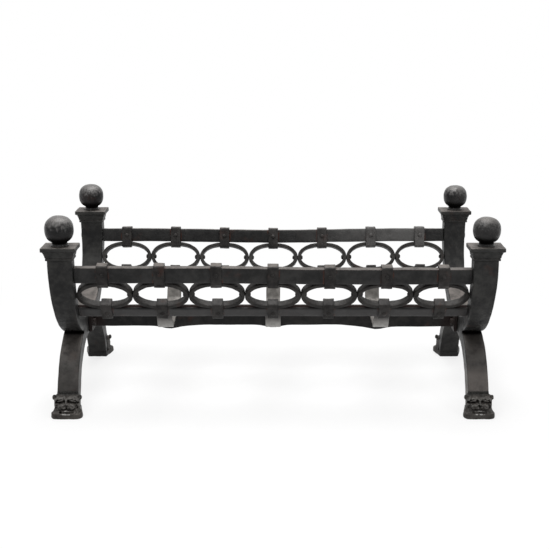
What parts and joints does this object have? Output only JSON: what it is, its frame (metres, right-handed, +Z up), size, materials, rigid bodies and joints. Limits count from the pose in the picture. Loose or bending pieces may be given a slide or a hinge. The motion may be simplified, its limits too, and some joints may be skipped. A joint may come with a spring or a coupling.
{
  "type": "log grate",
  "caption": "Wrought and cast iron log grate: end frames on lion-mask feet, ball finials, rows of oval rings clipped between rails, cross straps and a stretcher.",
  "frame": {"origin": "on the floor, under the middle of the grate", "axes": "+X along the length, to the right of someone who looks at the front; -Y to the front; +Z up"},
  "size_m": [0.9144, 0.434, 0.4155],
  "materials": {
    "cast_frame_iron": "satin, blackened and worn, lightly pitted",
    "ball_iron": "satin black with soft highlights",
    "lion_foot_iron": "satin, darker in the carved hollows, worn bright on the high spots",
    "rail_iron": "hammered wrought bar, blackened, with grey top faces",
    "clip_iron": "blackened wrought strip with a little rust at its edges",
    "ring_iron": "blackened wrought strip, grey on its upper faces",
    "strap_iron": "ash-greyed wrought strap",
    "stretcher_iron": "sooty black wrought bar"
  },
  "bodies": {
    "root": {"left_end_frame": "cast_frame_iron", "right_end_frame": "cast_frame_iron", "front_left_ball_finial": "ball_iron", "front_left_lion_foot": "lion_foot_iron", "front_right_ball_finial": "ball_iron", "front_right_lion_foot": "lion_foot_iron", "back_left_ball_finial": "ball_iron", "back_left_lion_foot": "lion_foot_iron", "back_right_ball_finial": "ball_iron", "back_right_lion_foot": "lion_foot_iron", "front_top_rail": "rail_iron", "front_top_clip_1": "clip_iron", "front_top_clip_2": "clip_iron", "front_top_clip_3": "clip_iron", "front_top_clip_4": "clip_iron", "front_top_clip_5": "clip_iron", "front_top_clip_6": "clip_iron", "front_top_clip_7": "clip_iron", "front_bottom_rail": "rail_iron", "front_bottom_clip_1": "clip_iron", "front_bottom_clip_2": "clip_iron", "front_bottom_clip_3": "clip_iron", "front_bottom_clip_4": "clip_iron", "front_bottom_clip_5": "clip_iron", "front_bottom_clip_6": "clip_iron", "front_bottom_clip_7": "clip_iron", "front_ring_1": "ring_iron", "front_ring_2": "ring_iron", "front_ring_3": "ring_iron", "front_ring_4": "ring_iron", "front_ring_5": "ring_iron", "front_ring_6": "ring_iron", "front_ring_7": "ring_iron", "back_top_rail": "rail_iron", "back_top_clip_1": "clip_iron", "back_top_clip_2": "clip_iron", "back_top_clip_3": "clip_iron", "back_top_clip_4": "clip_iron", "back_top_clip_5": "clip_iron", "back_top_clip_6": "clip_iron", "back_top_clip_7": "clip_iron", "back_bottom_rail": "rail_iron", "back_bottom_clip_1": "clip_iron", "back_bottom_clip_2": "clip_iron", "back_bottom_clip_3": "clip_iron", "back_bottom_clip_4": "clip_iron", "back_bottom_clip_5": "clip_iron", "back_bottom_clip_6": "clip_iron", "back_bottom_clip_7": "clip_iron", "back_ring_1": "ring_iron", "back_ring_2": "ring_iron", "back_ring_3": "ring_iron", "back_ring_4": "ring_iron", "back_ring_5": "ring_iron", "back_ring_6": "ring_iron", "back_ring_7": "ring_iron", "left_cross_strap": "strap_iron", "middle_cross_strap": "strap_iron", "right_cross_strap": "strap_iron", "stretcher": "stretcher_iron"}
  },
  "joints": []
}
